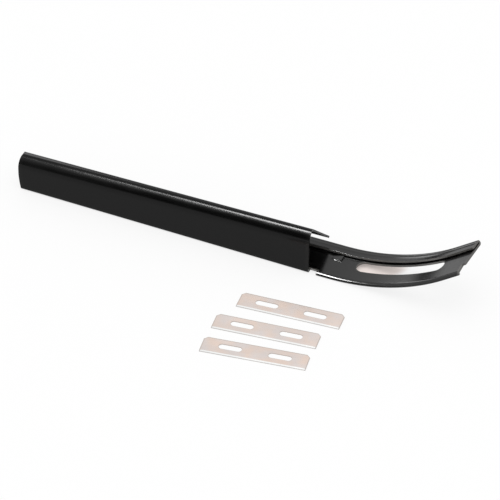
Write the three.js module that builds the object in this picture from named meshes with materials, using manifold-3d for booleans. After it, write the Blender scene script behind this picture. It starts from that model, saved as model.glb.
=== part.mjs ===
// Leather edge beveler: a folded sheet-steel handle, a curved blade holder and three loose blades.
// Millimetres. +X runs from the butt of the handle to the tip of the holder, +Z is up, and the
// blades lie on the -Y side. The origin is the middle of the handle's underside.
import * as THREE from 'three';
import { mergeVertices } from 'three/addons/utils/BufferGeometryUtils.js';
import Module from 'manifold-3d';

const wasm = await Module();
wasm.setup();

// Sheet and fits
const SHEET = 0.8;
const BLADE_THICKNESS = 0.25;
const SLOT_CLEARANCE = 0.25;
const SIDE_CLEARANCE = 0.3;

// Handle, folded from one sheet and tapered from the mouth to the butt
const HANDLE_LENGTH = 118;
const MOUTH_HEIGHT = 18;
const BUTT_HEIGHT = 14.6;
const MOUTH_WIDTH = 17.5;
const BUTT_WIDTH = 14;
const MOUTH_TOP_STRIP = 1.4;
const BUTT_TOP_STRIP = 2.3;
const MOUTH_EDGE_RADIUS = 1.3;
const BUTT_EDGE_RADIUS = 1.6;
const RIDGE_RADIUS = 1.5;
const FLOOR_BEND_RADIUS = 1.2;
const WALL_LEAN = 0.6;
const SHOULDER_DROP = 2.5;
const SHOULDER_INSET = 2.9;
const SHOULDER_RADIUS = 7;
const STRIP_DROP = 0.2;
const SEAM_HEIGHT = 5.8;
const SEAM_INSET = 1;
const FAR_WALL_REACH = 1.6;
const BUTT_CORNER_LENGTH = 2.2;
const BUTT_CORNER_HEIGHT = 6.2;

// Blade holder, measured along the strip from the mouth of the handle
const HOLDER_LENGTH = 64.6;
const CURVE_START = 8;
const CURVE_RADIUS = 74;
const TIP_STRAIGHT = 9.6;
const TANG_LENGTH = 70;
const TANG_WIDTH = 12;
const RAIL_WIDTH = 4.8;
const RAIL_TAIL = 6;
const LIP_START = 3;
const LIP_RADIUS = 1.2;
const LIP_DROP = 0.5;
const TIP_SLANT = 1.6;
const TIP_NOTCH_LENGTH = 1;
const TIP_NOTCH_WIDTH = 5.2;
const WINDOW_START = 15.6;
const WINDOW_LENGTH = 36;
const WINDOW_WIDTH = 5.5;
const WINDOW_TO_RAIL = 0.9;
const STOP_START = 5;
const STOP_LENGTH = 4.2;
const STOP_WIDTH = 2.6;
const STOP_HEIGHT = 0.7;
const STOP_TO_RAIL = 0.6;

// Loose blades, single-edged with two slots
const BLADE_LENGTH = 38.8;
const BLADE_WIDTH = 8;
const BLADE_CHAMFER = 1.25;
const BEVEL_WIDTH = 0.9;
const EDGE_THICKNESS = 0.04;
const BLADE_SLOT_LENGTH = 8.5;
const BLADE_SLOT_WIDTH = 2.5;
const BLADE_SLOT_PITCH = 18.2;
const BLADE_SLOT_FROM_BACK = 3.6;

// Where the blades lie: along the handle from its mouth, out from its near wall, and turned
const REAR_BLADE_ALONG = 2.3;
const REAR_BLADE_OUT = 21.4;
const REAR_BLADE_TURN = 4.7;
const MIDDLE_BLADE_ALONG = -1.3;
const MIDDLE_BLADE_OUT = 35;
const MIDDLE_BLADE_TURN = 6.6;
const FRONT_BLADE_ALONG = -0.3;
const FRONT_BLADE_OUT = 47.5;
const FRONT_BLADE_TURN = 8.3;
const BLADE_PLACES = [
  { name: 'blade_rear', along: REAR_BLADE_ALONG, out: REAR_BLADE_OUT, turn: REAR_BLADE_TURN },
  { name: 'blade_middle', along: MIDDLE_BLADE_ALONG, out: MIDDLE_BLADE_OUT, turn: MIDDLE_BLADE_TURN },
  { name: 'blade_front', along: FRONT_BLADE_ALONG, out: FRONT_BLADE_OUT, turn: FRONT_BLADE_TURN },
];

// Facets
const ARC_STEPS = 5;
const BEND_STEP = 2.2;
const CUT_MARGIN = 5;

// A bend uses at most this share of the shorter face beside it, and is no tighter than the sheet allows
const BEND_SHARE = 0.8;
const LEAST_BEND = 1.1 * SHEET;

const mouthX = HANDLE_LENGTH / 2;
const nearY = -MOUTH_WIDTH / 2;
const slotHeight = BLADE_THICKNESS + SLOT_CLEARANCE;
const railOuterRadius = SHEET + slotHeight / 2;

const lacquer = new THREE.MeshStandardMaterial({ color: 0x1c1c1f, roughness: 0.22, metalness: 0.4 });
const gunmetal = new THREE.MeshStandardMaterial({ color: 0x2a2a2e, roughness: 0.18, metalness: 0.6 });
const bladeSteel = new THREE.MeshStandardMaterial({ color: 0xd8cfc6, roughness: 0.25, metalness: 1 });

// Turns a closed geometry into a solid that can be joined and cut.
function solidOf(geometry) {
  geometry.deleteAttribute('normal');
  geometry.deleteAttribute('uv');
  const merged = mergeVertices(geometry, 1e-4);
  const vertProperties = new Float32Array(merged.attributes.position.array);
  const triVerts = new Uint32Array(merged.index.array);
  return new wasm.Manifold(new wasm.Mesh({ numProp: 3, vertProperties, triVerts }));
}

// Turns a solid back into a geometry with flat-shaded normals.
function geometryOf(solid) {
  const { vertProperties, triVerts } = solid.getMesh();
  const geometry = new THREE.BufferGeometry();
  geometry.setAttribute('position', new THREE.BufferAttribute(new Float32Array(vertProperties), 3));
  geometry.setIndex(new THREE.BufferAttribute(new Uint32Array(triVerts), 1));
  const flat = geometry.toNonIndexed();
  flat.computeVertexNormals();
  return flat;
}

function named(name, geometry, material) {
  const mesh = new THREE.Mesh(geometry, material);
  mesh.name = name;
  return mesh;
}

// Follows a bent sheet seen end-on. The path gives its outer face, each corner has a bend radius,
// and the sheet's thickness lies on the right of the path. Returns pairs of outer and inner points.
function foldedSheet(corners, radii, thickness) {
  const right = (v) => new THREE.Vector2(v.y, -v.x);
  const along = corners.slice(1).map((corner, i) => corner.clone().sub(corners[i]).normalize());
  const pairs = [];
  const first = corners[0];
  pairs.push([first.clone(), first.clone().addScaledVector(right(along[0]), thickness)]);
  for (let i = 1; i < corners.length - 1; i += 1) {
    const [before, after] = [along[i - 1], along[i]];
    const halfTurn = Math.acos(THREE.MathUtils.clamp(before.dot(after), -1, 1)) / 2;
    const room = Math.min(corners[i].distanceTo(corners[i - 1]), corners[i].distanceTo(corners[i + 1]));
    const most = (BEND_SHARE * room) / Math.tan(halfTurn);
    const radius = Math.max(Math.min(radii[i - 1], most), LEAST_BEND);
    const centre = corners[i].clone()
      .addScaledVector(before, -radius * Math.tan(halfTurn))
      .addScaledVector(right(before), radius);
    const start = right(before).negate();
    for (let step = 0; step <= ARC_STEPS; step += 1) {
      const spoke = start.clone().rotateAround(new THREE.Vector2(), (-2 * halfTurn * step) / ARC_STEPS);
      pairs.push([
        centre.clone().addScaledVector(spoke, radius),
        centre.clone().addScaledVector(spoke, radius - thickness),
      ]);
    }
  }
  const last = corners[corners.length - 1];
  const lastRight = right(along[along.length - 1]);
  pairs.push([last.clone(), last.clone().addScaledVector(lastRight, thickness)]);
  return pairs;
}

// Joins matching end sections of a folded sheet into one closed solid along X. The last pair of a
// section lies further along X by its reach.
function loftSheet(sections) {
  const positions = [];
  const index = [];
  const count = sections[0].pairs.length;
  for (const { x, reach, pairs } of sections) {
    pairs.forEach(([outer, inner], i) => {
      const at = i === count - 1 ? x + reach : x;
      positions.push(at, outer.x, outer.y, at, inner.x, inner.y);
    });
  }
  const outerAt = (k, i) => 2 * (k * count + i);
  const innerAt = (k, i) => outerAt(k, i) + 1;
  const quad = (a, b, c, d) => index.push(a, c, b, a, d, c);
  const last = sections.length - 1;
  for (let i = 0; i < count - 1; i += 1) {
    for (let k = 0; k < last; k += 1) {
      quad(outerAt(k, i), outerAt(k, i + 1), outerAt(k + 1, i + 1), outerAt(k + 1, i));
      quad(innerAt(k, i), innerAt(k + 1, i), innerAt(k + 1, i + 1), innerAt(k, i + 1));
    }
    quad(outerAt(0, i), innerAt(0, i), innerAt(0, i + 1), outerAt(0, i + 1));
    quad(outerAt(last, i), outerAt(last, i + 1), innerAt(last, i + 1), innerAt(last, i));
  }
  for (let k = 0; k < last; k += 1) {
    quad(outerAt(k, 0), outerAt(k + 1, 0), innerAt(k + 1, 0), innerAt(k, 0));
    const end = count - 1;
    quad(outerAt(k, end), innerAt(k, end), innerAt(k + 1, end), outerAt(k + 1, end));
  }
  const geometry = new THREE.BufferGeometry();
  geometry.setAttribute('position', new THREE.Float32BufferAttribute(positions, 3));
  geometry.setIndex(index);
  return geometry;
}

// One end of the handle: floor, near wall with a rounded shoulder, narrow top strip, and a far wall
// that stops at the seam.
function handleSection(width, height, strip, edgeRadius) {
  const near = -width / 2;
  const corners = [
    new THREE.Vector2(width / 2, 0),
    new THREE.Vector2(near, 0),
    new THREE.Vector2(near + WALL_LEAN, height - SHOULDER_DROP),
    new THREE.Vector2(near + SHOULDER_INSET, height),
    new THREE.Vector2(near + SHOULDER_INSET + strip, height - STRIP_DROP),
    new THREE.Vector2(width / 2 - SEAM_INSET, SEAM_HEIGHT),
  ];
  return foldedSheet(corners, [FLOOR_BEND_RADIUS, SHOULDER_RADIUS, edgeRadius, RIDGE_RADIUS], SHEET);
}

// The wedge of sheet that the rounded upper corner of the butt takes away.
function buttCorner() {
  const buttX = -HANDLE_LENGTH / 2;
  const centreX = buttX + BUTT_CORNER_LENGTH;
  const centreZ = BUTT_HEIGHT - BUTT_CORNER_HEIGHT;
  const side = new THREE.Shape();
  side.moveTo(buttX, centreZ);
  side.absellipse(centreX, centreZ, BUTT_CORNER_LENGTH, BUTT_CORNER_HEIGHT, Math.PI, Math.PI / 2, true);
  side.lineTo(centreX, BUTT_HEIGHT + CUT_MARGIN);
  side.lineTo(buttX - CUT_MARGIN, BUTT_HEIGHT + CUT_MARGIN);
  side.lineTo(buttX - CUT_MARGIN, centreZ);
  const depth = 2 * MOUTH_WIDTH + 2 * CUT_MARGIN;
  const geometry = new THREE.ExtrudeGeometry(side, { depth, bevelEnabled: false, curveSegments: ARC_STEPS });
  geometry.rotateX(Math.PI / 2);
  geometry.translate(0, depth / 2, 0);
  return solidOf(geometry);
}

function handleShell() {
  const sheet = loftSheet([
    {
      x: -HANDLE_LENGTH / 2,
      reach: 0,
      pairs: handleSection(BUTT_WIDTH, BUTT_HEIGHT, BUTT_TOP_STRIP, BUTT_EDGE_RADIUS),
    },
    {
      x: mouthX,
      reach: FAR_WALL_REACH,
      pairs: handleSection(MOUTH_WIDTH, MOUTH_HEIGHT, MOUTH_TOP_STRIP, MOUTH_EDGE_RADIUS),
    },
  ]);
  return named('handle_shell', geometryOf(solidOf(sheet).subtract(buttCorner())), lacquer);
}

// The holder's strip lies on the handle's floor, runs straight out of the mouth, curves up and
// ends straight. Gives the point that is s along its underside and n above it.
function stripPoint(s, n) {
  const arcLength = HOLDER_LENGTH - CURVE_START - TIP_STRAIGHT;
  const turn = THREE.MathUtils.clamp((s - CURVE_START) / CURVE_RADIUS, 0, arcLength / CURVE_RADIUS);
  const before = Math.min(s, CURVE_START);
  const beyond = Math.max(s - CURVE_START - arcLength, 0);
  const x = before + CURVE_RADIUS * Math.sin(turn) + beyond * Math.cos(turn) - n * Math.sin(turn);
  const z = CURVE_RADIUS * (1 - Math.cos(turn)) + beyond * Math.sin(turn) + n * Math.cos(turn);
  return { x: mouthX + x, z: SHEET + z };
}

// Bends a geometry drawn flat, with s along X, the width along Y from the near edge, and n along Z.
function bendToStrip(geometry) {
  const position = geometry.attributes.position;
  for (let i = 0; i < position.count; i += 1) {
    const { x, z } = stripPoint(position.getX(i), position.getZ(i));
    position.setXYZ(i, x, nearY + position.getY(i), z);
  }
  return geometry;
}

// Sweeps an outline of the strip seen end-on from one place along it to another.
function sweptStrip(outline, from, to) {
  const depth = to - from;
  const steps = Math.ceil(depth / BEND_STEP);
  const geometry = new THREE.ExtrudeGeometry(outline, {
    depth, steps, bevelEnabled: false, curveSegments: ARC_STEPS,
  });
  const toStripAxes = new THREE.Matrix4().makeBasis(
    new THREE.Vector3(0, 1, 0),
    new THREE.Vector3(0, 0, 1),
    new THREE.Vector3(1, 0, 0),
  );
  geometry.applyMatrix4(toStripAxes);
  geometry.translate(from, 0, 0);
  return solidOf(bendToStrip(geometry));
}

// A plan outline in s and width, cut or raised from one height above the strip's underside to another.
function platedStrip(outline, low, high) {
  const geometry = new THREE.ExtrudeGeometry(outline, {
    depth: high - low, bevelEnabled: false, curveSegments: 2 * ARC_STEPS,
  });
  geometry.translate(0, 0, low);
  return solidOf(bendToStrip(geometry));
}

// The far edge of the strip seen end-on, folded back over itself to make the blade's rail.
function addRail(outline) {
  const centre = { y: MOUTH_WIDTH - railOuterRadius, n: SHEET + slotHeight / 2 };
  const railEdge = MOUTH_WIDTH - RAIL_WIDTH;
  outline.lineTo(centre.y, SHEET);
  outline.absarc(centre.y, centre.n, slotHeight / 2, -Math.PI / 2, Math.PI / 2, false);
  outline.lineTo(railEdge, SHEET + slotHeight);
  outline.lineTo(railEdge, 2 * SHEET + slotHeight);
  outline.lineTo(centre.y, 2 * SHEET + slotHeight);
  outline.absarc(centre.y, centre.n, railOuterRadius, Math.PI / 2, -Math.PI / 2, true);
}

// The head seen end-on: down-turned lip on the near edge, flat web, and the rail.
function headOutline() {
  const lipCentreN = SHEET - LIP_RADIUS;
  const outline = new THREE.Shape();
  outline.moveTo(SHEET, -LIP_DROP);
  outline.lineTo(0, -LIP_DROP);
  outline.lineTo(0, lipCentreN);
  outline.absarc(LIP_RADIUS, lipCentreN, LIP_RADIUS, Math.PI, Math.PI / 2, true);
  addRail(outline);
  outline.lineTo(LIP_RADIUS, 0);
  outline.absarc(LIP_RADIUS, lipCentreN, LIP_RADIUS - SHEET, Math.PI / 2, Math.PI, false);
  outline.closePath();
  return outline;
}

// The neck seen end-on: the strip drawn in to pass between the handle's walls, with the rail.
function neckOutline() {
  const nearEdge = FLOOR_BEND_RADIUS + SIDE_CLEARANCE;
  const outline = new THREE.Shape();
  outline.moveTo(nearEdge, 0);
  outline.lineTo(nearEdge, SHEET);
  addRail(outline);
  outline.closePath();
  return outline;
}

function tangOutline() {
  const nearEdge = (MOUTH_WIDTH - TANG_WIDTH) / 2;
  const outline = new THREE.Shape();
  outline.moveTo(nearEdge, 0);
  outline.lineTo(nearEdge, SHEET);
  outline.lineTo(nearEdge + TANG_WIDTH, SHEET);
  outline.lineTo(nearEdge + TANG_WIDTH, 0);
  outline.closePath();
  return outline;
}

// A slot with round ends, drawn with enough points along it to follow the strip's curve.
function windowOutline() {
  const radius = WINDOW_WIDTH / 2;
  const middle = MOUTH_WIDTH - RAIL_WIDTH - WINDOW_TO_RAIL - radius;
  const from = WINDOW_START + radius;
  const to = WINDOW_START + WINDOW_LENGTH - radius;
  const steps = Math.ceil((to - from) / BEND_STEP);
  const outline = new THREE.Shape();
  outline.absarc(from, middle, radius, Math.PI / 2, (3 * Math.PI) / 2, false);
  for (let i = 1; i < steps; i += 1) {
    outline.lineTo(from + ((to - from) * i) / steps, middle - radius);
  }
  outline.absarc(to, middle, radius, -Math.PI / 2, Math.PI / 2, false);
  for (let i = steps - 1; i > 0; i -= 1) {
    outline.lineTo(from + ((to - from) * i) / steps, middle + radius);
  }
  return outline;
}

// The stop that a blade's inner end meets: a tongue raised from the web in a ramp.
function bladeStop() {
  const ramp = new THREE.Shape();
  ramp.moveTo(STOP_START, SHEET / 2);
  ramp.lineTo(STOP_START + STOP_LENGTH, SHEET / 2);
  ramp.lineTo(STOP_START + STOP_LENGTH, SHEET + STOP_HEIGHT);
  ramp.lineTo(STOP_START, SHEET);
  ramp.closePath();
  const geometry = new THREE.ExtrudeGeometry(ramp, { depth: STOP_WIDTH, bevelEnabled: false });
  geometry.rotateX(Math.PI / 2);
  geometry.translate(0, MOUTH_WIDTH - RAIL_WIDTH - STOP_TO_RAIL, 0);
  return solidOf(bendToStrip(geometry));
}

// What is cut off at the tip: the end slants back from the rail, with a step near the lip.
function tipCut() {
  const slantPerWidth = TIP_SLANT / (MOUTH_WIDTH - TIP_NOTCH_WIDTH);
  const stepFrom = HOLDER_LENGTH - TIP_SLANT;
  const outside = HOLDER_LENGTH + CUT_MARGIN;
  const outline = new THREE.Shape();
  outline.moveTo(stepFrom - TIP_NOTCH_LENGTH, -CUT_MARGIN);
  outline.lineTo(outside, -CUT_MARGIN);
  outline.lineTo(outside, MOUTH_WIDTH + CUT_MARGIN);
  outline.lineTo(HOLDER_LENGTH + slantPerWidth * CUT_MARGIN, MOUTH_WIDTH + CUT_MARGIN);
  outline.lineTo(stepFrom, TIP_NOTCH_WIDTH);
  outline.lineTo(stepFrom - TIP_NOTCH_LENGTH, TIP_NOTCH_WIDTH);
  outline.closePath();
  return outline;
}

function bladeHolder() {
  const overlap = BEND_STEP / 2;
  const solid = sweptStrip(headOutline(), LIP_START, HOLDER_LENGTH)
    .add(sweptStrip(neckOutline(), -RAIL_TAIL, LIP_START + overlap))
    .add(sweptStrip(tangOutline(), -TANG_LENGTH, -RAIL_TAIL + overlap))
    .add(bladeStop())
    .subtract(platedStrip(windowOutline(), -CUT_MARGIN, CUT_MARGIN))
    .subtract(platedStrip(tipCut(), -CUT_MARGIN, CUT_MARGIN));
  return named('blade_holder', geometryOf(solid), gunmetal);
}

// A blade drawn flat, middle at the origin, cutting edge towards -Y.
function bladeOutline() {
  const halfLength = BLADE_LENGTH / 2;
  const halfWidth = BLADE_WIDTH / 2;
  const outline = new THREE.Shape();
  outline.moveTo(-halfLength, -halfWidth);
  outline.lineTo(halfLength, -halfWidth);
  outline.lineTo(halfLength, halfWidth - BLADE_CHAMFER);
  outline.lineTo(halfLength - BLADE_CHAMFER, halfWidth);
  outline.lineTo(-halfLength + BLADE_CHAMFER, halfWidth);
  outline.lineTo(-halfLength, halfWidth - BLADE_CHAMFER);
  outline.closePath();
  const radius = BLADE_SLOT_WIDTH / 2;
  const reach = BLADE_SLOT_LENGTH / 2 - radius;
  const slotY = halfWidth - BLADE_SLOT_FROM_BACK;
  for (const middle of [-BLADE_SLOT_PITCH / 2, BLADE_SLOT_PITCH / 2]) {
    const slot = new THREE.Path();
    slot.absarc(middle - reach, slotY, radius, Math.PI / 2, (3 * Math.PI) / 2, false);
    slot.absarc(middle + reach, slotY, radius, -Math.PI / 2, Math.PI / 2, false);
    slot.closePath();
    outline.holes.push(slot);
  }
  return outline;
}

// What grinding takes off the upper side along the cutting edge.
function bevelCut() {
  const edgeY = -BLADE_WIDTH / 2;
  const slope = (BLADE_THICKNESS - EDGE_THICKNESS) / BEVEL_WIDTH;
  const side = new THREE.Shape();
  side.moveTo(edgeY - BEVEL_WIDTH, EDGE_THICKNESS - slope * BEVEL_WIDTH);
  side.lineTo(edgeY + 2 * BEVEL_WIDTH, BLADE_THICKNESS + slope * BEVEL_WIDTH);
  side.lineTo(edgeY - BEVEL_WIDTH, BLADE_THICKNESS + slope * BEVEL_WIDTH);
  side.closePath();
  const depth = BLADE_LENGTH + 2 * CUT_MARGIN;
  const geometry = new THREE.ExtrudeGeometry(side, { depth, bevelEnabled: false });
  const alongBlade = new THREE.Matrix4().makeBasis(
    new THREE.Vector3(0, 1, 0),
    new THREE.Vector3(0, 0, 1),
    new THREE.Vector3(1, 0, 0),
  );
  geometry.applyMatrix4(alongBlade);
  geometry.translate(-depth / 2, 0, 0);
  return solidOf(geometry);
}

function blade({ name, along, out, turn }) {
  const plate = new THREE.ExtrudeGeometry(bladeOutline(), {
    depth: BLADE_THICKNESS, bevelEnabled: false, curveSegments: ARC_STEPS,
  });
  const mesh = named(name, geometryOf(solidOf(plate).subtract(bevelCut())), bladeSteel);
  mesh.position.set(mouthX + along, nearY - out, 0);
  mesh.rotation.z = THREE.MathUtils.degToRad(turn);
  return mesh;
}

const beveler = new THREE.Group();
beveler.name = 'leather_edge_beveler';
beveler.add(handleShell(), bladeHolder(), ...BLADE_PLACES.map(blade));

export default beveler;
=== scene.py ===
# %% [markdown]
# # A leather edge beveler and its loose blades
#
# The tool is two pieces of sheet steel, folded and lacquered black: a long handle and a curved
# blade holder whose tang lies on the handle's floor. Three bare steel blades lie in front of it.
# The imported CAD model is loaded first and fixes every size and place. Each piece is then made
# again as a finer surface, because the bends of glossy sheet show every facet.

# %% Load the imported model
import math

import bpy
import numpy as np
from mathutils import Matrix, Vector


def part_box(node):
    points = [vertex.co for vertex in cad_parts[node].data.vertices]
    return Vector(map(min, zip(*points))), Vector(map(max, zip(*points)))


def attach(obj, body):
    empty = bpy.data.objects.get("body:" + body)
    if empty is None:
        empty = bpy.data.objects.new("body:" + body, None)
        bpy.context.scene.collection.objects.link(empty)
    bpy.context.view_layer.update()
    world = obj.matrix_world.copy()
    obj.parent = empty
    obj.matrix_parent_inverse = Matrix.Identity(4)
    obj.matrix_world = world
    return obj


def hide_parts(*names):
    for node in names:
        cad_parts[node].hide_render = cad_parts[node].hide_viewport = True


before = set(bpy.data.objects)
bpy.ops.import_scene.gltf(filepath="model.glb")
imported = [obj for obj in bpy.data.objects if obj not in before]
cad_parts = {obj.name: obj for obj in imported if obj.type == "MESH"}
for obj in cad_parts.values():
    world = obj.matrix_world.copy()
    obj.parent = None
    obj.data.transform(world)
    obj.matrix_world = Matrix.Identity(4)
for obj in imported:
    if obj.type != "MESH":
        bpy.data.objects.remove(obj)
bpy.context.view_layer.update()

# %% [markdown]
# ## Sizes
#
# The lengths of the pieces are in millimetres and follow the CAD model. The ends of the handle and
# the width of the holder, which is as wide as the handle's mouth, come from the frame. The rest are
# the sizes that a sheet-metal worker would write on the drawing. One factor turns finished points
# into Blender's metres, so no object needs a scale of its own. The floor's width, the cards, the
# lamps and the camera at the end are set out in metres.

# %% Sizes that several pieces share
MM = 0.001
SHEET = 0.8
BLADE_THICKNESS = 0.25
SLOT_CLEARANCE = 0.25
SLOT_HEIGHT = BLADE_THICKNESS + SLOT_CLEARANCE
FAR_WALL_REACH = 1.6
HANDLE_LOW, HANDLE_HIGH = (np.array(corner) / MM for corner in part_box("handle_shell"))
HOLDER_LOW, HOLDER_HIGH = (np.array(corner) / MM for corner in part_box("blade_holder"))
BUTT_X = HANDLE_LOW[0]
MOUTH_X = HANDLE_HIGH[0] - FAR_WALL_REACH
NEAR_Y = HOLDER_LOW[1]
MOUTH_WIDTH = HOLDER_HIGH[1] - HOLDER_LOW[1]
print(f"handle from x = {BUTT_X:.1f} to {MOUTH_X:.1f} mm, {MOUTH_WIDTH:.1f} mm wide at its mouth")

# %% [markdown]
# ## From two skins to a solid sheet
#
# Sheet metal is two matching skins with a cut edge between them. A piece is therefore worked out
# as two arrays of points that share one list of quads. Any edge that belongs to a single quad is
# a cut edge, and gets a wall from one skin to the other. Solidify could thicken a single skin too,
# but two skins let a blade thin out towards its ground edge. On lacquered sheet a small bevel then
# rounds the cut edges, which is what catches the light on a real stamping. Punched blades stay sharp.

# %% Build a sheet from its skins
EDGE_ROUNDING = 0.09
ROUNDING_STEPS = 3
EDGE_ANGLE = math.radians(40)


def cut_edges(quads):
    """Edges used by one quad only, each in the direction that its quad runs."""
    edges = np.stack([quads, np.roll(quads, -1, axis=1)], axis=2).reshape(-1, 2)
    _, first, uses = np.unique(np.sort(edges, axis=1), axis=0, return_index=True, return_counts=True)
    return edges[first[uses == 1]]


def sheet_piece(name, front, back, quads, flat=None, rounding=EDGE_ROUNDING):
    """A closed sheet: the front skin, the back skin turned over, and a wall along every cut edge.

    front and back are matching points in millimetres. flat gives the point's place on the flat
    pattern, also in millimetres, and becomes the UV map. rounding is the width of the bevel on the
    cut edges, and 0 keeps them sharp. The attribute cut_edge is 1 at the points of the cut edges.
    """
    count = len(front)
    cut = cut_edges(quads)
    walls = np.stack([cut[:, 1], cut[:, 0], cut[:, 0] + count, cut[:, 1] + count], axis=1)
    faces = np.concatenate([quads, quads[:, ::-1] + count, walls])
    mesh = bpy.data.meshes.new(name)
    mesh.from_pydata((np.concatenate([front, back]) * MM).tolist(), [], faces.tolist())
    on_edge = np.zeros(count)
    on_edge[cut.ravel()] = 1
    mesh.attributes.new("cut_edge", "FLOAT", "POINT").data.foreach_set("value", np.tile(on_edge, 2))
    if flat is not None:
        corners = np.zeros(len(mesh.loops), np.int32)
        mesh.loops.foreach_get("vertex_index", corners)
        mesh.uv_layers.new(name="flat_pattern").data.foreach_set("uv", flat[corners % count].ravel())
    mesh.polygons.foreach_set("use_smooth", np.ones(len(mesh.polygons), bool))
    mesh.validate()
    piece = bpy.data.objects.new(name, mesh)
    bpy.context.scene.collection.objects.link(piece)
    if rounding:
        bevel = piece.modifiers.new("cut edge rounding", "BEVEL")
        bevel.width = rounding * MM
        bevel.segments = ROUNDING_STEPS
        bevel.limit_method = "ANGLE"
        bevel.angle_limit = EDGE_ANGLE
        bevel.use_clamp_overlap = False
        bevel.harden_normals = True
    else:
        mesh.set_sharp_from_angle(angle=EDGE_ANGLE)
    print(f"{name}: {count} points on each skin, {len(faces)} faces")
    return piece


def grid_quads(rows, columns):
    """Quads of a rows by columns grid of points, numbered row by row."""
    corner = (np.arange(rows - 1)[:, None] * columns + np.arange(columns - 1)[None, :]).ravel()
    return np.stack([corner, corner + columns, corner + columns + 1, corner + 1], axis=1)


# %% [markdown]
# ## The handle
#
# The real handle is one blank bent along four lines: a floor, a near wall with a rounded shoulder,
# a narrow top strip and a far wall that comes down at about 45 degrees. The far wall stops about
# 5 mm above the floor, which leaves an open seam. It could be a box with beveled edges, but a
# profile carried along a path gives true arcs and an even taper. The first helper bends a sheet
# along a chain of corners, and both ends of the handle get the same number of points.

# %% Fold a profile
BEND_STEPS = 14
FACE_STEPS = 10


def folded_profile(corners, radii):
    """Outer and inner points of a sheet bent along a chain of corners, seen end-on.

    Each corner is an arc that touches both of its straight faces: its centre lies one radius to
    the right of the incoming face, and a spoke turns from one face's normal to the next. The
    inner point of each pair is one sheet thickness further along the same spoke.
    """
    corners = np.asarray(corners, float)
    along = np.diff(corners, axis=0)
    along /= np.linalg.norm(along, axis=1, keepdims=True)
    right = np.stack([along[:, 1], -along[:, 0]], axis=1)
    outer, inner = [corners[:1]], [corners[:1] + SHEET * right[:1]]
    for i, radius in enumerate(radii):
        turn = math.acos(np.clip(along[i] @ along[i + 1], -1, 1))
        centre = corners[i + 1] - radius * math.tan(turn / 2) * along[i] + radius * right[i]
        angle = np.linspace(0, turn, BEND_STEPS)[:, None]
        spoke = -right[i] * np.cos(angle) + along[i] * np.sin(angle)
        outer.append(centre + radius * spoke)
        inner.append(centre + (radius - SHEET) * spoke)
    outer.append(corners[-1:])
    inner.append(corners[-1:] + SHEET * right[-1:])
    return spread_faces(outer), spread_faces(inner)


def spread_faces(runs):
    """Joins the bends of a profile with evenly spaced points along the flat faces between them."""
    share = np.linspace(0, 1, FACE_STEPS + 2)[1:-1, None]
    joined = [runs[0]]
    for before, after in zip(runs, runs[1:]):
        joined.append(before[-1] + share * (after[0] - before[-1]))
        joined.append(after)
    return np.concatenate(joined)


# %% Ends of the handle
BUTT_WIDTH = 14
BUTT_HEIGHT = 14.6
MOUTH_HEIGHT = 18
MOUTH_STRIP = 1.4
BUTT_STRIP = 2.3
MOUTH_EDGE_RADIUS = 1.3
BUTT_EDGE_RADIUS = 1.6
RIDGE_RADIUS = 1.5
FLOOR_BEND_RADIUS = 1.2
WALL_LEAN = 0.6
SHOULDER_DROP = 2.5
SHOULDER_INSET = 2.9
SHOULDER_RADIUS = 7
STRIP_DROP = 0.2
SEAM_HEIGHT = 5.8
SEAM_INSET = 1


def handle_end(width, height, strip, edge_radius):
    """Profile of one end of the handle, from the floor's far edge round to the seam."""
    near = -width / 2
    corners = [
        (width / 2, 0),
        (near, 0),
        (near + WALL_LEAN, height - SHOULDER_DROP),
        (near + SHOULDER_INSET, height),
        (near + SHOULDER_INSET + strip, height - STRIP_DROP),
        (width / 2 - SEAM_INSET, SEAM_HEIGHT),
    ]
    return folded_profile(corners, [FLOOR_BEND_RADIUS, SHOULDER_RADIUS, edge_radius, RIDGE_RADIUS])


butt_outer, butt_inner = handle_end(BUTT_WIDTH, BUTT_HEIGHT, BUTT_STRIP, BUTT_EDGE_RADIUS)
mouth_outer, mouth_inner = handle_end(MOUTH_WIDTH, MOUTH_HEIGHT, MOUTH_STRIP, MOUTH_EDGE_RADIUS)
print(f"handle profile: {len(butt_outer)} points on each skin")

# %% [markdown]
# Every station between the two ends is a straight mix of their profiles. At the butt the sheet
# starts a little later near its top, on a quarter of an ellipse, and near its foot, so the end looks
# gently rounded. It is a little fuller there than the CAD model. At the mouth the far wall's edge
# slants, and reaches furthest where it is lowest.

# %% Handle shell
BUTT_CORNER_LENGTH = 0.9
BUTT_CORNER_HEIGHT = 4.4
BUTT_FOOT_LENGTH = 1.0
BUTT_FOOT_HEIGHT = 7.5
BUTT_FOOT_POWER = 1.5
HANDLE_STATIONS = 70


def butt_start(height):
    """Where the sheet starts along X at a given height.

    It is set back near the top on a quarter ellipse, and near the foot by a power of the way down.
    """
    rise = np.clip((height - (BUTT_HEIGHT - BUTT_CORNER_HEIGHT)) / BUTT_CORNER_HEIGHT, 0, 1)
    foot = np.clip(1 - height / BUTT_FOOT_HEIGHT, 0, 1)
    top_back = BUTT_CORNER_LENGTH * (1 - np.sqrt(1 - rise**2))
    return BUTT_X + top_back + BUTT_FOOT_LENGTH * foot**BUTT_FOOT_POWER


def handle_skin(at_butt, at_mouth):
    """Mixes the two end profiles along the handle's length into one skin of points.

    At the mouth the far wall reaches further the lower it comes, in proportion to the way down it.
    """
    share = np.linspace(0, 1, HANDLE_STATIONS)[:, None]
    reach = np.zeros(len(at_mouth))
    reach[-FACE_STEPS - 2:] = np.linspace(0, FAR_WALL_REACH, FACE_STEPS + 2)
    across = (1 - share) * at_butt[:, 0] + share * at_mouth[:, 0]
    height = (1 - share) * at_butt[:, 1] + share * at_mouth[:, 1]
    start = butt_start(at_butt[:, 1])
    along = start + share * (MOUTH_X + reach - start)
    return np.stack([along, across, height], axis=2).reshape(-1, 3)


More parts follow.
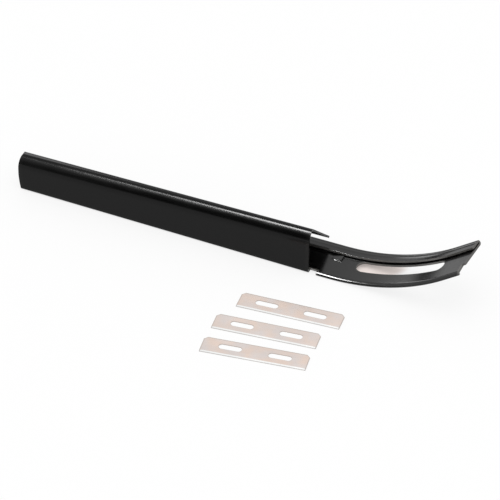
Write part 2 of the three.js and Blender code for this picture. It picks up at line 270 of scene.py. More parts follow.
handle_quads = grid_quads(HANDLE_STATIONS, len(butt_outer))
handle = sheet_piece(
    "handle_sheet",
    handle_skin(butt_outer, mouth_outer),
    handle_skin(butt_inner, mouth_inner),
    handle_quads,
)

# %% [markdown]
# ## A flat pattern with holes
#
# The holder and the blades are flat patterns with round-ended slots. A grid of quads keeps glossy
# sheet smooth, but a round hole doesn't fit a grid. So a rectangle of cells is left out round each
# slot, and rings of quads close in from the rectangle to the slot. Each point of the rectangle is
# drawn towards the nearest point on the slot's middle line until it is one radius away. A Boolean
# modifier could cut the slots, but it leaves long thin faces that show in gloss.

# %% Pattern helper
SLOT_RINGS = 4
GRID_DECIMALS = 4


def lines(*stretches):
    """Sorted grid lines: each stretch is (from, to, spacing), and its two ends are always kept."""
    runs = [np.linspace(a, b, max(int(round((b - a) / step)), 1) + 1) for a, b, step in stretches]
    return np.unique(np.round(np.concatenate(runs), GRID_DECIMALS))


def slot_rings(points, loop, start, middle_line):
    """New points and quads that close in from a loop of grid points to a round-ended slot.

    middle_line is (first, last, height, radius) of the slot. Returns the points and the quads,
    with the new points numbered from start.
    """
    first, last, height, radius = middle_line
    rim = points[loop]
    centre = np.stack([np.clip(rim[:, 0], first, last), np.full(len(rim), height)], axis=1)
    ray = rim - centre
    edge = centre + radius * ray / np.linalg.norm(ray, axis=1, keepdims=True)
    share = (np.arange(1, SLOT_RINGS + 1) / SLOT_RINGS)[:, None, None]
    rings = (rim + share * (edge - rim)).reshape(-1, 2)
    number = np.concatenate([loop, start + np.arange(len(rings))]).reshape(SLOT_RINGS + 1, -1)
    ahead = np.roll(number, -1, axis=1)
    quads = np.stack([number[:-1], ahead[:-1], ahead[1:], number[1:]], axis=2).reshape(-1, 4)
    return rings, quads


def flat_pattern(along, across, keep, slots):
    """Points and quads of a flat pattern: a grid, the cells to keep, and round-ended slots.

    Each slot is ((first, last, height, radius), (low along, low across, high along, high across)),
    where the second part is the rectangle of grid lines that its rings fill.
    """
    points = np.stack(np.meshgrid(along, across, indexing="ij"), axis=2).reshape(-1, 2)
    columns = len(across)
    kept = keep.copy()
    new_points, new_quads = [points], []
    total = len(points)
    for middle_line, (low_a, low_c, high_a, high_c) in slots:
        a0, a1 = np.searchsorted(along, [low_a, high_a])
        c0, c1 = np.searchsorted(across, [low_c, high_c])
        kept[a0:a1, c0:c1] = False
        loop = np.concatenate([
            np.arange(a0, a1) * columns + c0,
            a1 * columns + np.arange(c0, c1),
            np.arange(a1, a0, -1) * columns + c1,
            a0 * columns + np.arange(c1, c0, -1),
        ])
        rings, quads = slot_rings(points, loop, total, middle_line)
        new_points.append(rings)
        new_quads.append(quads)
        total += len(rings)
    quads = np.concatenate([grid_quads(len(along), columns)[kept.ravel()], *new_quads])
    used, quads = np.unique(quads, return_inverse=True)
    return np.concatenate(new_points)[used], quads.reshape(-1, 4)


# %% [markdown]
# ## The blade holder
#
# The holder is one strip. Seen end-on it starts at the foot of the near lip, bends up and over
# onto the flat web, and turns back over itself along the far edge as the rail that grips a blade.
# Seen from the side it runs flat out of the handle and curves up to the tip. So a point of the
# flat pattern, at s along the strip and w across the unfolded sheet, is first folded across and
# then bent along. The window, the narrower neck and tang and the notch at the tip are all cut in
# the flat pattern, as they are on the real blank.

# %% Holder sizes
HOLDER_LENGTH = 64.6
CURVE_START = 8
CURVE_RADIUS = 74
TIP_STRAIGHT = 9.6
TANG_LENGTH = 70
TANG_WIDTH = 12
RAIL_WIDTH = 4.8
RAIL_TAIL = 6
LIP_START = 3
LIP_RADIUS = 1.2
LIP_DROP = 0.5
TIP_SLANT = 1.6
TIP_NOTCH_LENGTH = 1
TIP_NOTCH_WIDTH = 5.2
WINDOW_START = 15.6
WINDOW_LENGTH = 36
WINDOW_WIDTH = 5.5
WINDOW_TO_RAIL = 0.9
NECK_CLEARANCE = 0.3
NECK_NEAR = FLOOR_BEND_RADIUS + NECK_CLEARANCE
RAIL_DIP = 0.08
RAIL_CREST = 1.2
RAIL_CREST_WIDTH = 0.6

lip_flat = LIP_DROP + SHEET - LIP_RADIUS
lip_arc = (LIP_RADIUS - SHEET / 2) * math.pi / 2
fold_radius = (SHEET + SLOT_HEIGHT) / 2
rail_outer = fold_radius + SHEET / 2
web_from = lip_flat + lip_arc
web_width = MOUTH_WIDTH - rail_outer - LIP_RADIUS
web_to = web_from + web_width
fold_to = web_to + fold_radius * math.pi
rail_to = fold_to + RAIL_WIDTH - rail_outer
print(f"the unfolded strip is {rail_to:.1f} mm wide")

# %% Fold across and bend along


def unfolded(y):
    """Place across the unfolded sheet of a point on the web that is y from the holder's near side."""
    return web_from + y - LIP_RADIUS


def fold_across(w):
    """Middle of the sheet and its normal, seen end-on, at w across the unfolded sheet.

    The strip is a chain of a short upright lip, a quarter circle, the flat web, a half circle and
    the rail. Along each arc the angle is the length along it over its radius. The rail lies a
    little lower than the fold, but for a low bell-shaped crest along it that the folding leaves.
    """
    lip_turn = np.clip((w - lip_flat) / (LIP_RADIUS - SHEET / 2), 0, math.pi / 2)
    fold_turn = np.clip((w - web_to) / fold_radius, 0, math.pi)
    up_lip = np.clip(w, 0, lip_flat)
    on_web = np.clip(w - web_from, 0, web_width)
    on_rail = np.clip(w - fold_to, 0, None)
    crest = np.exp(-(((on_rail - RAIL_CREST) / RAIL_CREST_WIDTH) ** 2))
    sunk = RAIL_DIP * (1 - crest) * np.clip(on_rail / RAIL_CREST_WIDTH, 0, 1)
    y = LIP_RADIUS - (LIP_RADIUS - SHEET / 2) * np.cos(lip_turn) + on_web
    y = y + fold_radius * np.sin(fold_turn) - on_rail
    n = up_lip - LIP_DROP + (LIP_RADIUS - SHEET / 2) * np.sin(lip_turn)
    n = n + fold_radius * (1 - np.cos(fold_turn)) - sunk
    normal_y = -np.cos(lip_turn) - np.sin(fold_turn)
    normal_n = np.sin(lip_turn) * np.cos(fold_turn)
    return y, n, normal_y, normal_n


def bend_along(s, y, n):
    """Carries a point s along the strip, y from its near side and n above its underside into space.

    The strip is straight, then an arc, then straight again, and n is measured along its normal.
    """
    arc_length = HOLDER_LENGTH - CURVE_START - TIP_STRAIGHT
    turn = np.clip((s - CURVE_START) / CURVE_RADIUS, 0, arc_length / CURVE_RADIUS)
    before = np.minimum(s, CURVE_START)
    beyond = np.maximum(s - CURVE_START - arc_length, 0)
    x = before + CURVE_RADIUS * np.sin(turn) + beyond * np.cos(turn) - n * np.sin(turn)
    z = CURVE_RADIUS * (1 - np.cos(turn)) + beyond * np.sin(turn) + n * np.cos(turn)
    return np.stack([MOUTH_X + x, NEAR_Y + y, SHEET + z], axis=1)


# %% [markdown]
# ### The blade's stop
#
# The stop is a small tongue that is pushed up out of the web. It rises in a ramp from the handle's
# side and ends in a step, and the blade's inner end meets that step. It could be a separate wedge,
# but the real one is part of the sheet, so its ramp is added to the height of the folded pattern.

# %% Stop
STOP_START = 5
STOP_LENGTH = 4.2
STOP_WIDTH = 2.6
STOP_HEIGHT = 0.7
STOP_TO_RAIL = 0.6
STOP_EDGE = 0.25

stop_far = MOUTH_WIDTH - RAIL_WIDTH - STOP_TO_RAIL
stop_near = stop_far - STOP_WIDTH
stop_end = STOP_START + STOP_LENGTH


def stop_height(s, y):
    """Height of the raised tongue: a ramp along the strip, with steep sides and a steep end."""
    ramp = np.clip((s - STOP_START) / STOP_LENGTH, 0, 1)
    end = np.clip((stop_end + STOP_EDGE - s) / STOP_EDGE, 0, 1)
    sides = np.clip(np.minimum(y - stop_near, stop_far - y) / STOP_EDGE + 1, 0, 1)
    return STOP_HEIGHT * np.minimum(ramp, end) * sides


# %% [markdown]
# ### The blank and its folding
#
# The grid lines of the blank lie where something happens: at the ends of the tang and the lip, round
# the window and the stop, and close together across the bends. Cells outside the blank are left out.
# The finished pattern is then folded across, bent along, and given its two skins half a sheet to
# either side.

# %% Holder pattern
COARSE = 4.0
MEDIUM = 0.9
WEB_STEP = 0.5
RAIL_STEP = 0.13
FINE = 0.12
LIP_STEPS = 7
FOLD_STEPS = 16
RING_MARGIN = 1.0

window_radius = WINDOW_WIDTH / 2
window_middle = MOUTH_WIDTH - RAIL_WIDTH - WINDOW_TO_RAIL - window_radius
window_end = WINDOW_START + WINDOW_LENGTH
tip_step = HOLDER_LENGTH - TIP_SLANT


def holder_pattern():
    """Flat pattern of the holder: its grid lines, the cells that the blank keeps, and its window."""
    ring = window_radius + RING_MARGIN
    tang_near = (MOUTH_WIDTH - TANG_WIDTH) / 2
    along = lines(
        (-TANG_LENGTH, -RAIL_TAIL, COARSE),
        (-RAIL_TAIL, LIP_START, MEDIUM),
        (LIP_START, STOP_START, MEDIUM),
        (STOP_START, stop_end - FINE, MEDIUM / 2),
        (stop_end - FINE, stop_end + STOP_EDGE + FINE, FINE),
        (stop_end + STOP_EDGE + FINE, WINDOW_START - RING_MARGIN, MEDIUM),
        (WINDOW_START - RING_MARGIN, window_end + RING_MARGIN, MEDIUM / 2),
        (window_end + RING_MARGIN, tip_step - TIP_NOTCH_LENGTH, MEDIUM),
        (tip_step - TIP_NOTCH_LENGTH, tip_step, MEDIUM / 2),
    )
    web_lines = [LIP_RADIUS, NECK_NEAR, tang_near, TIP_NOTCH_WIDTH, window_middle - ring]
    web_lines += [stop_near - STOP_EDGE, stop_near, stop_far, stop_far + STOP_EDGE]
    web_lines += [window_middle + ring, tang_near + TANG_WIDTH, MOUTH_WIDTH - rail_outer]
    web_lines = unfolded(np.unique(np.round(web_lines, GRID_DECIMALS)))
    across = lines(
        (0, lip_flat, lip_flat),
        (lip_flat, web_from, lip_arc / LIP_STEPS),
        *[(a, b, WEB_STEP) for a, b in zip(web_lines, web_lines[1:])],
        (web_to, fold_to, fold_radius * math.pi / FOLD_STEPS),
        (fold_to, rail_to, RAIL_STEP),
    )
    s = ((along[1:] + along[:-1]) / 2)[:, None]
    w = ((across[1:] + across[:-1]) / 2)[None, :]
    keep = (s > LIP_START) | (w > unfolded(NECK_NEAR))
    in_tang = (w > unfolded(tang_near)) & (w < unfolded(tang_near + TANG_WIDTH))
    keep &= (s > -RAIL_TAIL) | in_tang
    keep &= (s < tip_step - TIP_NOTCH_LENGTH) | (w > unfolded(TIP_NOTCH_WIDTH))
    middle_line = (
        WINDOW_START + window_radius,
        window_end - window_radius,
        unfolded(window_middle),
        window_radius,
    )
    rectangle = [WINDOW_START - RING_MARGIN, unfolded(window_middle - ring)]
    rectangle += [window_end + RING_MARGIN, unfolded(window_middle + ring)]
    return flat_pattern(along, across, keep, [(middle_line, np.round(rectangle, GRID_DECIMALS))])


pattern, holder_quads = holder_pattern()
print(f"holder blank: {len(pattern)} points, {len(holder_quads)} quads")

# %% Holder sheet
s, w = pattern.T
y, n, normal_y, normal_n = fold_across(w)
to_tip = np.clip((s - window_end - RING_MARGIN) / (tip_step - window_end - RING_MARGIN), 0, 1)
s = s + TIP_SLANT * to_tip * np.clip((y - TIP_NOTCH_WIDTH) / (MOUTH_WIDTH - TIP_NOTCH_WIDTH), 0, 1)
n = n + stop_height(s, y) * (w < web_to) * (w > web_from)
half = SHEET / 2
holder = sheet_piece(
    "blade_holder_sheet",
    bend_along(s, y + half * normal_y, n + half * normal_n),
    bend_along(s, y - half * normal_y, n - half * normal_n),
    holder_quads,
)

# %% [markdown]
# ## The blades
#
# Each blade is a strip of hard steel, 38.8 mm long and 8 mm wide, with two round-ended slots, two
# clipped corners on its back and one ground edge. The same flat pattern gives its slots. Its upper
# skin slopes down to the cutting edge, and the clipped corners come from drawing the rows in near
# the two ends. The three copies differ only in where they lie and how they are turned.

# %% Blade pattern
BLADE_LENGTH = 38.8
BLADE_WIDTH = 8
BLADE_CHAMFER = 1.25
BEVEL_WIDTH = 0.9
EDGE_THICKNESS = 0.04
BLADE_SLOT_LENGTH = 8.5
BLADE_SLOT_WIDTH = 2.5
BLADE_SLOT_PITCH = 18.2
BLADE_SLOT_FROM_BACK = 3.6
BLADE_STEP = 0.4
BLADE_RING = 0.6
half_length = BLADE_LENGTH / 2
half_width = BLADE_WIDTH / 2


def blade_pattern():
    """Flat pattern of a blade, with its two slots, before its back corners are clipped."""
    radius = BLADE_SLOT_WIDTH / 2
    reach = BLADE_SLOT_LENGTH / 2 - radius
    height = half_width - BLADE_SLOT_FROM_BACK
    low, high = height - radius - BLADE_RING, height + radius + BLADE_RING
    middles = (-BLADE_SLOT_PITCH / 2, BLADE_SLOT_PITCH / 2)
    ring_reach = reach + radius + BLADE_RING
    ends = [middle + side * ring_reach for middle in middles for side in (-1, 1)]
    clip = half_length - BLADE_CHAMFER
    stops = [-half_length, -clip, *ends, clip, half_length]
    along = lines(*[(a, b, BLADE_STEP) for a, b in zip(stops, stops[1:])])
    levels = [-half_width, -half_width + BEVEL_WIDTH, low, high, half_width]
    across = lines(*[(a, b, BLADE_STEP) for a, b in zip(levels, levels[1:])])
    keep = np.ones((len(along) - 1, len(across) - 1), bool)
    slots = []
    for middle, left, right in zip(middles, ends[::2], ends[1::2]):
        middle_line = (middle - reach, middle + reach, height, radius)
        slots.append((middle_line, np.round([left, low, right, high], GRID_DECIMALS)))
    return flat_pattern(along, across, keep, slots)


blade_flat, blade_quads = blade_pattern()
print(f"blade pattern: {len(blade_flat)} points, {len(blade_quads)} quads")

# %% [markdown]
# ### Laying the blades out
#
# Each place is how far the blade's middle lies along X from the handle's mouth, how far out from
# the handle's near side, and how many degrees it is turned.

# %% The three blades
BLADE_PLACES = {
    "blade_rear": (2.3, 21.4, 4.7),
    "blade_middle": (-1.3, 35.0, 6.6),
    "blade_front": (-0.3, 47.5, 8.3),
}


def lay_blade(points, height, along, out, turn):
    """Turns a blade's points about the vertical and lays them on the table in front of the handle."""
    c, s = math.cos(math.radians(turn)), math.sin(math.radians(turn))
    x = MOUTH_X + along + c * points[:, 0] - s * points[:, 1]
    y = NEAR_Y - out + s * points[:, 0] + c * points[:, 1]
    return np.stack([x, y, height], axis=1)


past_clip = np.clip(np.abs(blade_flat[:, 0]) - (half_length - BLADE_CHAMFER), 0, None)
blade_flat[:, 1] -= past_clip * (blade_flat[:, 1] + half_width) / BLADE_WIDTH
slope = np.clip((blade_flat[:, 1] + half_width) / BEVEL_WIDTH, 0, 1)
blade_top = EDGE_THICKNESS + (BLADE_THICKNESS - EDGE_THICKNESS) * slope
blades = {}
for node_name, (along, out, turn) in BLADE_PLACES.items():
    blades[node_name] = sheet_piece(
        node_name + "_steel",
        lay_blade(blade_flat, blade_top, along, out, turn),
        lay_blade(blade_flat, np.zeros(len(blade_flat)), along, out, turn),
        blade_quads,
        flat=blade_flat,
        rounding=0,
    )

# %% [markdown]
# ## Materials
#
# Colours are written as sRGB hex values and turned to linear by one function. One more function
# adds a shader node with its settings and its links. Pattern scales are worked out from real sizes
# in millimetres: a noise of scale 1 has features about one metre across.

# %% Colour and node helpers


def linear(hex_colour):
    """Linear RGBA of an sRGB hex value, by the sRGB transfer curve."""
    srgb = np.array([int(hex_colour[i:i + 2], 16) for i in (1, 3, 5)]) / 255
    rgb = np.where(srgb <= 0.04045, srgb / 12.92, ((srgb + 0.055) / 1.055) ** 2.4)
    return (*rgb.tolist(), 1.0)


def per_metre(size_mm):
    """Noise scale whose features are size_mm millimetres across."""
    return 1 / (size_mm * MM)


def add(tree, kind, inputs=None, **settings):
    """Adds one shader node. settings are its properties; inputs are its socket values or links."""
    made = tree.nodes.new(kind)
    for name, value in settings.items():
        setattr(made, name, value)
    for socket, value in (inputs or {}).items():
        if isinstance(value, bpy.types.NodeSocket):
            tree.links.new(value, made.inputs[socket])
        else:
            made.inputs[socket].default_value = value
    return made


def new_material(name):
    """An empty node material and its Principled shader."""
    material = bpy.data.materials.new(name)
    material.use_nodes = True
    return material, material.node_tree, material.node_tree.nodes["Principled BSDF"]


# %% [markdown]
# ### Black stoving lacquer on sheet steel
#
# The handle and the holder are dipped or sprayed black and baked. The film is a dielectric over a
# dark ground, so nearly all that the eye sees is reflection. It has a faint orange peel and fine
# rubbing marks along the tool, which vary its roughness. The film is thin on cut edges, where steel
# shows through: partly wear, partly a painted highlight along the edge, more on the holder than on
# the handle. The holder's film is glossier than the handle's, and the inside of the handle got less
# spray and is dull.

# %% Lacquer
LACQUER_BLACK = "#070707"
EDGE_STEEL_AND_HIGHLIGHT = "#6f6d6a"
LACQUER_IOR = 1.5
CLOUD_MM = 14
RUB_MARK_MM = 0.5
RUB_STRETCH = (0.06, 1.0, 1.0)
ROUGH_LEAST = 0.85
ROUGH_MOST = 1.25
WEAR_AND_HIGHLIGHT_MM = 9
WEAR_AND_HIGHLIGHT_LEAST = 0.4
PEEL_MM = 1.6
PEEL_DEPTH_MM = 0.02
PEEL_STRENGTH = 0.05


def lacquer(name, roughness, specular, edge_wear_and_highlight):
    """Baked black lacquer: noise on the roughness, orange peel as bump, steel and a painted highlight on
    the cut edges.

    The roughness follows the product of a broad noise and one that is stretched along the tool.
    The last argument sets how far the cut edges show steel where it is strongest, partly wear and partly
    a painted highlight.
    """
    material, tree, shader = new_material(name)
    place = add(tree, "ShaderNodeTexCoord").outputs["Object"]
    rubbed = add(tree, "ShaderNodeMapping", {"Vector": place, "Scale": RUB_STRETCH}).outputs["Vector"]
    cloud = add(tree, "ShaderNodeTexNoise", {
        "Vector": place, "Scale": per_metre(CLOUD_MM), "Detail": 3.0,
    })
    marks = add(tree, "ShaderNodeTexNoise", {
        "Vector": rubbed, "Scale": per_metre(RUB_MARK_MM), "Detail": 1.0,
    })
    both = add(tree, "ShaderNodeMath", {
        0: cloud.outputs["Fac"], 1: marks.outputs["Fac"],
    }, operation="MULTIPLY")
    rough = add(tree, "ShaderNodeMapRange", {
        "Value": both.outputs["Value"], "From Min": 0.1, "From Max": 0.4,
        "To Min": ROUGH_LEAST * roughness, "To Max": ROUGH_MOST * roughness,
    })
    edge = add(tree, "ShaderNodeAttribute", attribute_name="cut_edge")
    wear_and_highlight_noise = add(tree, "ShaderNodeTexNoise", {"Vector": place, "Scale": per_metre(WEAR_AND_HIGHLIGHT_MM), "Detail": 2.0})
    worn_and_highlight = add(tree, "ShaderNodeMapRange", {
        "Value": wear_and_highlight_noise.outputs["Fac"], "From Min": 0.3, "From Max": 0.7,
        "To Min": WEAR_AND_HIGHLIGHT_LEAST * edge_wear_and_highlight, "To Max": edge_wear_and_highlight,
    })
    wear_and_highlight = add(tree, "ShaderNodeMath", {
        0: edge.outputs["Fac"], 1: worn_and_highlight.outputs["Result"],
    }, operation="MULTIPLY")
    # The cut edges mix in a lighter steel: partly wear, partly a painted highlight.
    colour = add(tree, "ShaderNodeMix", {
        "Factor": wear_and_highlight.outputs["Value"], 6: linear(LACQUER_BLACK), 7: linear(EDGE_STEEL_AND_HIGHLIGHT),
    }, data_type="RGBA")
    peel = add(tree, "ShaderNodeTexNoise", {"Vector": place, "Scale": per_metre(PEEL_MM), "Detail": 1.0})
    bump = add(tree, "ShaderNodeBump", {
        "Height": peel.outputs["Fac"], "Strength": PEEL_STRENGTH, "Distance": PEEL_DEPTH_MM * MM,
    })
    tree.links.new(colour.outputs[2], shader.inputs["Base Color"])
    tree.links.new(rough.outputs["Result"], shader.inputs["Roughness"])
    tree.links.new(bump.outputs["Normal"], shader.inputs["Normal"])
    shader.inputs["IOR"].default_value = LACQUER_IOR
    shader.inputs["Specular IOR Level"].default_value = specular
    return material


outside_lacquer = lacquer("stoved_black_lacquer", roughness=0.18, specular=0.17, edge_wear_and_highlight=0.04)
inside_lacquer = lacquer("dull_inside_lacquer", roughness=0.6, specular=0.05, edge_wear_and_highlight=0.1)
holder_lacquer = lacquer("stoved_black_lacquer_holder", roughness=0.18, specular=0.46, edge_wear_and_highlight=0.8)
handle.data.materials.append(outside_lacquer)
handle.data.materials.append(inside_lacquer)
inside = np.zeros(len(handle.data.polygons), np.int32)
inside[len(handle_quads):2 * len(handle_quads)] = 1
handle.data.polygons.foreach_set("material_index", inside)
holder.data.materials.append(holder_lacquer)
print(f"lacquer: {inside.sum()} of the handle's {len(inside)} faces are inside")

# %% [markdown]
# ### Rolled blade steel and its ground edge
#
# A blade is punched from bright rolled strip. Rolling leaves fine streaks along the strip, which
# the UV map of the flat pattern follows however the blade is turned. They are drawn coarser than
# real ones, which would be too fine to show. The strip also has patches of a warmer and a greyer
# tint. Its rims are a little darker: a thin line of painted shade along every cut edge. The bevel
# is ground, so it is whiter, and its grit lines run across the edge. It ends in the same thin grey
# line of painted shade. It is a second material on the sloping faces.

# %% Blade steel
STRIP_STEEL = ("#e3d1c6", "#dcd3cf")
GROUND_STEEL = ("#f2f2f1", "#f2f2f1")
RIM_PAINTED_SHADE = "#b4aaa3"
EDGE_LINE_PAINTED_SHADE = "#a3a09d"
BLADE_CLOUD_MM = 12.0
MOTTLE_MM = 5.5
STREAK_DEPTH_MM = 0.01
STREAK_STRENGTH = 0.15
STREAK_LEAST = 0.7
STREAK_MOST = 1.3
TONE_LEAST = 0.92
TONE_MOST = 1.04


def blade_metal(name, tints, rim_shade_colour, roughness, stretch, streak_mm):
    """Bright steel with fine lines: a noise stretched along one axis of the flat pattern.

    A second noise, in Object coordinates so that no two blades match, mixes the warm and the grey
    tint. The sum of the streaks and a broad cloud sets the roughness and the tone.
    """
    material, tree, shader = new_material(name)
    pattern_mm = add(tree, "ShaderNodeUVMap", uv_map="flat_pattern").outputs["UV"]
    drawn = add(tree, "ShaderNodeMapping", {"Vector": pattern_mm, "Scale": stretch}).outputs["Vector"]
    streak = add(tree, "ShaderNodeTexNoise", {"Vector": drawn, "Scale": 1 / streak_mm, "Detail": 5.0})
    cloud = add(tree, "ShaderNodeTexNoise", {
        "Vector": pattern_mm, "Scale": 1 / BLADE_CLOUD_MM, "Detail": 2.0,
    })
    both = add(tree, "ShaderNodeMath", {
        0: streak.outputs["Fac"], 1: cloud.outputs["Fac"],
    }, operation="ADD")
    rough = add(tree, "ShaderNodeMapRange", {
        "Value": both.outputs["Value"], "From Min": 0.6, "From Max": 1.4,
        "To Min": roughness * STREAK_LEAST, "To Max": roughness * STREAK_MOST,
    })
    tone = add(tree, "ShaderNodeMapRange", {
        "Value": both.outputs["Value"], "From Min": 0.7, "From Max": 1.3,
        "To Min": TONE_LEAST, "To Max": TONE_MOST,
    })
    place = add(tree, "ShaderNodeTexCoord").outputs["Object"]
    mottle = add(tree, "ShaderNodeTexNoise", {
        "Vector": place, "Scale": per_metre(MOTTLE_MM), "Detail": 2.0,
    })
    patches = add(tree, "ShaderNodeMapRange", {
        "Value": mottle.outputs["Fac"], "From Min": 0.35, "From Max": 0.65,
    })
    tint = add(tree, "ShaderNodeMix", {
        "Factor": patches.outputs["Result"], 6: linear(tints[0]), 7: linear(tints[1]),
    }, data_type="RGBA")
    toned = add(tree, "ShaderNodeMix", {
        "Factor": 1.0, 6: tint.outputs[2], 7: tone.outputs["Result"],
    }, data_type="RGBA", blend_type="MULTIPLY")
    # Darker rims: a thin line of painted shade along every cut edge.
    edge = add(tree, "ShaderNodeAttribute", attribute_name="cut_edge")
    colour = add(tree, "ShaderNodeMix", {
        "Factor": edge.outputs["Fac"], 6: toned.outputs[2], 7: linear(rim_shade_colour),
    }, data_type="RGBA")
    bump = add(tree, "ShaderNodeBump", {
        "Height": streak.outputs["Fac"], "Strength": STREAK_STRENGTH, "Distance": STREAK_DEPTH_MM * MM,
    })
    tree.links.new(colour.outputs[2], shader.inputs["Base Color"])
    tree.links.new(rough.outputs["Result"], shader.inputs["Roughness"])
    tree.links.new(bump.outputs["Normal"], shader.inputs["Normal"])
    shader.inputs["Metallic"].default_value = 1.0
    return material


rolled = blade_metal(
    "rolled_strip_steel", STRIP_STEEL, RIM_PAINTED_SHADE,
    roughness=0.16, stretch=(0.03, 1.0, 1.0), streak_mm=0.25,
)
ground = blade_metal(
    "ground_edge_steel", GROUND_STEEL, EDGE_LINE_PAINTED_SHADE,
    roughness=0.22, stretch=(1.0, 0.05, 1.0), streak_mm=0.2,
)
bevel_faces = blade_flat[blade_quads].mean(axis=1)[:, 1] < -half_width + BEVEL_WIDTH
for blade in blades.values():
    blade.data.materials.append(rolled)
    blade.data.materials.append(ground)
    slots = np.zeros(len(blade.data.polygons), np.int32)
    slots[:len(bevel_faces)] = bevel_faces
    blade.data.polygons.foreach_set("material_index", slots)
print("materials:", [material.name for material in bpy.data.materials])

# %% [markdown]
# ## Riding on the CAD bodies
#
# Each finer piece takes the place of its CAD node and moves with that node's body. The handle and
# the holder are one body, and each blade lifts off the table by itself.

# %% Replace the CAD nodes
for piece, node_name, body, slot in (
    (handle, "handle_shell", "tool", "handle_lacquer"),
    (holder, "blade_holder", "tool", "holder_lacquer"),
    *[(blade, name, name, "blade_steel") for name, blade in blades.items()],
):
    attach(piece, body)
    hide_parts(node_name)
    print(piece.name, "rides on", body)

# %% [markdown]
# ## The table
#
# This is a product shot on white. A pale floor alone would turn grey in the soft light, so
# for the camera, and for what metal mirrors, it is lightened most of the way to white, which leaves
# a faint shadow. Under the holder it is lightened less and tinted warm: a painted shade, so that the
# table seen through the window is a warm grey. A painted backdrop could be white everywhere, but
# would take no shadow.

# %% Floor
FLOOR_SIZE = 6.0
FLOOR_GAP = 0.02
FLOOR_ROUGHNESS = 0.9
FLOOR_WHITE = "#fbfbfb"
PURE_WHITE = "#ffffff"
FLOOR_LIFT = 0.8
# Under the holder the floor is lightened less and tinted warm: a painted shade.
SHADE_LIFT = 0.3
PAINTED_SHADE_WARM = "#fdf2ed"
SHADE_MIDDLE = (80, 2.5)
SHADE_REACH = (14.5, 6)
SHADE_TURN = math.radians(33)
SHADE_FADE = 0.6


def seen_directly(tree):
    """Socket that is 1 for rays from the camera, and for those that metal mirrors or glass passes."""
    path = add(tree, "ShaderNodeLightPath")
    either = add(tree, "ShaderNodeMath", {
        0: path.outputs["Is Camera Ray"], 1: path.outputs["Is Glossy Ray"],
    }, operation="MAXIMUM")
    return add(tree, "ShaderNodeMath", {
        0: either.outputs["Value"], 1: path.outputs["Is Transmission Ray"],
    }, operation="MAXIMUM").outputs["Value"]


def out_of_shade(tree):
    """Socket that is 0 in an ellipse under the holder and fades to 1 at the ellipse's edge."""
    middle = [MM * size for size in SHADE_MIDDLE]
    radii = [MM * size for size in SHADE_REACH]
    place = add(tree, "ShaderNodeTexCoord").outputs["Object"]
    in_ellipse = add(tree, "ShaderNodeMapping", {
        "Vector": place,
        "Location": (*middle, 0.0),
        "Rotation": (0.0, 0.0, SHADE_TURN),
        "Scale": (*radii, 1.0),
    }, vector_type="TEXTURE")
    reach = add(tree, "ShaderNodeVectorMath", {0: in_ellipse.outputs["Vector"]}, operation="LENGTH")
    return add(tree, "ShaderNodeMapRange", {
        "Value": reach.outputs["Value"], "From Min": SHADE_FADE, "From Max": 1.0,
    }, interpolation_type="SMOOTHSTEP").outputs["Result"]


def pale_floor():
    """A large flat quad just under the tool: nearly white to the camera, with a soft shadow and a
    painted warm shade under the holder.
    """
    half_size = FLOOR_SIZE / 2
    corners = np.array([(-1, -1), (1, -1), (1, 1), (-1, 1)]) * half_size
    mesh = bpy.data.meshes.new("floor")
    mesh.from_pydata([(x, y, -FLOOR_GAP * MM) for x, y in corners], [], [(0, 1, 2, 3)])
    floor = bpy.data.objects.new("floor", mesh)
    bpy.context.scene.collection.objects.link(floor)
    material, tree, shader = new_material("pale_floor")
    shader.inputs["Roughness"].default_value = FLOOR_ROUGHNESS
    shader.inputs["Specular IOR Level"].default_value = 0.0
    open_floor = out_of_shade(tree)
    # Painted shade: in the ellipse under the holder the floor's colour and glow turn warm and the glow
    # is weaker.
    white = add(tree, "ShaderNodeMix", {
        "Factor": open_floor, 6: linear(PAINTED_SHADE_WARM), 7: linear(FLOOR_WHITE),
    }, data_type="RGBA").outputs[2]
    glow = add(tree, "ShaderNodeMix", {
        "Factor": open_floor, 6: linear(PAINTED_SHADE_WARM), 7: linear(PURE_WHITE),
    }, data_type="RGBA").outputs[2]
    tree.links.new(white, shader.inputs["Base Color"])
    lift = add(tree, "ShaderNodeMapRange", {
        "Value": open_floor, "To Min": SHADE_LIFT, "To Max": FLOOR_LIFT,
    })
    share = add(tree, "ShaderNodeMapRange", {
        "Value": seen_directly(tree), "To Max": lift.outputs["Result"],
    })
    mixed = add(tree, "ShaderNodeMixShader", {
        0: share.outputs["Result"],
        1: shader.outputs["BSDF"],
        2: add(tree, "ShaderNodeEmission", {"Color": glow}).outputs["Emission"],
    })
    tree.links.new(mixed.outputs["Shader"], tree.nodes["Material Output"].inputs["Surface"])
    mesh.materials.append(material)
    return floor


pale_floor()
print(f"floor {FLOOR_SIZE:.0f} m wide, {FLOOR_GAP} mm under the tool")

# %% [markdown]
# ## Dark cards
#
# Black lacquer shows only what it reflects, and in a white room that is white all over. Two dark
# cards outside the picture give the shoulder of the handle its dark band and the head its dark dip.
# Only gloss sees them, so they cast no shadow and don't show in a view themselves.

# %% Cards
CARD_BLACK = "#0a0a0a"
FRONT_CARD = [(-0.14, 0.1, -0.2, 0.0), (-0.85, -0.1, -1.6, 0.0), (-0.85, -0.1, -1.6, 0.9)]
REAR_CARD = [(-2.2, -0.6, 1.2, 0.1), (-2.2, -0.6, 1.2, 0.36)]


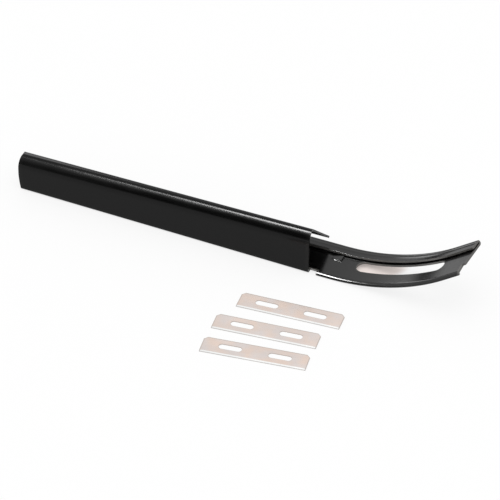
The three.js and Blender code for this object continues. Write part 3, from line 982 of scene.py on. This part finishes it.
def dark_card(name, rows):
    """A dark card that only gloss sees: a strip through rows of (left x, right x, y, z) in metres."""
    mesh = bpy.data.meshes.new(name)
    corners = [(x, y, z) for left, right, y, z in rows for x in (left, right)]
    first = 2 * np.arange(len(rows) - 1)
    mesh.from_pydata(corners, [], np.stack([first, first + 2, first + 3, first + 1], axis=1).tolist())
    card = bpy.data.objects.new(name, mesh)
    bpy.context.scene.collection.objects.link(card)
    material, tree, shader = new_material(name)
    shader.inputs["Base Color"].default_value = linear(CARD_BLACK)
    shader.inputs["Roughness"].default_value = 1.0
    shader.inputs["Specular IOR Level"].default_value = 0.0
    mesh.materials.append(material)
    card.visible_camera = False
    card.visible_diffuse = False
    card.visible_shadow = False
    card.visible_transmission = False
    return card


dark_card("front_card", FRONT_CARD)
dark_card("rear_card", REAR_CARD)
print("cards:", len(FRONT_CARD) - 1, "panels in front,", len(REAR_CARD) - 1, "behind")

# %% [markdown]
# ## Lamps and surround
#
# A plain white surround gives most of the light and leaves the soft shadow. An overhead softbox adds
# a little to the floor. Gloss doesn't see it, because it would wash the blades out. Two lights reach
# gloss alone: a strip draws the bright line along the handle's upper edge and along the holder's lip
# near the mouth, and a small lamp behind the butt lightens the top of the handle there and the
# holder's curve towards its tip. One large lamp could light everything, but would lay a grey veil
# over all the lacquer.

# %% Lamps and world
LAMP_TARGET = (0.05, -0.01, 0.0)
SOFTBOX = {"place": (0.05, 0.0, 1.1), "width": 0.8, "height": 0.8, "power": 1.8}
EDGE_LIGHT = {"place": (-0.17, -0.46, 0.73), "width": 0.2, "height": 0.5, "power": 20.0}
BUTT_LIGHT = {"place": (-0.22, 0.235, 0.163), "width": 0.12, "height": 0.12, "power": 0.11}
WORLD_FILL = 0.9


def soft_lamp(name, place, width, height, power):
    """A rectangular area lamp that faces the tool, width across and height up its own face."""
    data = bpy.data.lights.new(name, "AREA")
    data.shape = "RECTANGLE"
    data.size = width
    data.size_y = height
    data.energy = power
    lamp = bpy.data.objects.new(name, data)
    bpy.context.scene.collection.objects.link(lamp)
    lamp.location = place
    toward = np.array(LAMP_TARGET) - np.array(place)
    tilt = math.acos(-toward[2] / np.linalg.norm(toward))
    lamp.rotation_euler = (tilt, 0, math.atan2(toward[1], toward[0]) - math.pi / 2)
    return lamp


softbox = soft_lamp("overhead_softbox", **SOFTBOX)
softbox.visible_glossy = False
edge_light = soft_lamp("edge_strip_light", **EDGE_LIGHT)
edge_light.visible_diffuse = False
butt_light = soft_lamp("rear_butt_light", **BUTT_LIGHT)
butt_light.visible_diffuse = False

world = bpy.data.worlds.new("white_surround")
bpy.context.scene.world = world
world.use_nodes = True
surround = world.node_tree.nodes["Background"]
strength = add(world.node_tree, "ShaderNodeMapRange", {
    "Value": seen_directly(world.node_tree), "To Min": WORLD_FILL,
})
world.node_tree.links.new(strength.outputs["Result"], surround.inputs["Strength"])
surround.inputs["Color"].default_value = linear(PURE_WHITE)
print("lamps:", sorted(light.name for light in bpy.data.lights))

# %% [markdown]
# ## Camera
#
# The camera stands about 40 degrees above the table and 24 degrees round towards the tip, as fitted
# to the photograph. A long lens keeps the edges of the handle nearly parallel. The plain Standard
# view transform leaves the white white.

# %% Camera
VIEW_AZIMUTH = math.radians(23.6)
VIEW_ELEVATION = math.radians(40.0)
VIEW_DISTANCE = 1.2
VIEW_TARGET = (0.0344, -0.00485, 0.0)
LENS_MM = 236.4
SENSOR_MM = 36.0

camera_data = bpy.data.cameras.new("camera")
camera_data.lens = LENS_MM
camera_data.sensor_width = SENSOR_MM
camera = bpy.data.objects.new("camera", camera_data)
bpy.context.scene.collection.objects.link(camera)
level = math.cos(VIEW_ELEVATION)
camera.location = (
    VIEW_TARGET[0] + VIEW_DISTANCE * level * math.sin(VIEW_AZIMUTH),
    VIEW_TARGET[1] - VIEW_DISTANCE * level * math.cos(VIEW_AZIMUTH),
    VIEW_TARGET[2] + VIEW_DISTANCE * math.sin(VIEW_ELEVATION),
)
camera.rotation_euler = (math.pi / 2 - VIEW_ELEVATION, 0, VIEW_AZIMUTH)
bpy.context.scene.camera = camera
bpy.context.scene.view_settings.view_transform = "Standard"
print("camera at", [round(value, 3) for value in camera.location])
